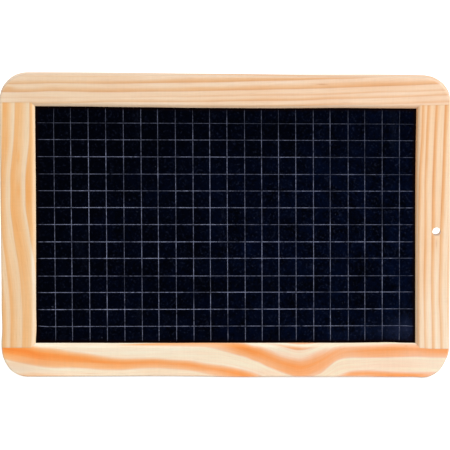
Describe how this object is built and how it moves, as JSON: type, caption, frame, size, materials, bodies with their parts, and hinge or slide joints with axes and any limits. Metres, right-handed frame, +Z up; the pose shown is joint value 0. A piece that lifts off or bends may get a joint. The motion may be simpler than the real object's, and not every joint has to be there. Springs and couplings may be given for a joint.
{
  "type": "school slate",
  "caption": "Small landscape chalkboard: a slate panel scribed with squares, held in a grooved pine frame with rounded corners, mitred mouldings and a hanging hole in one side.",
  "frame": {"origin": "middle of the bottom edge of the frame, halfway through its thickness", "axes": "+X to the right along the board seen from the ruled face, +Z up, +Y out of the plain back; the ruled face looks towards -Y"},
  "size_m": [0.26, 0.007, 0.18],
  "materials": {
    "slate_panel": "matt ground blue-black slate with pale scribed lines",
    "top_rail_pine": "sanded pine, unvarnished, fine straight grain",
    "bottom_rail_pine": "sanded pine, unvarnished, pale with a broad orange flame",
    "left_stile_pine": "sanded pine, unvarnished, broad orange bands",
    "right_stile_pine": "sanded pine, unvarnished, narrow orange lines"
  },
  "bodies": {
    "root": {"slate": "slate_panel", "top_rail": "top_rail_pine", "bottom_rail": "bottom_rail_pine", "left_stile": "left_stile_pine", "right_stile": "right_stile_pine"}
  },
  "joints": []
}
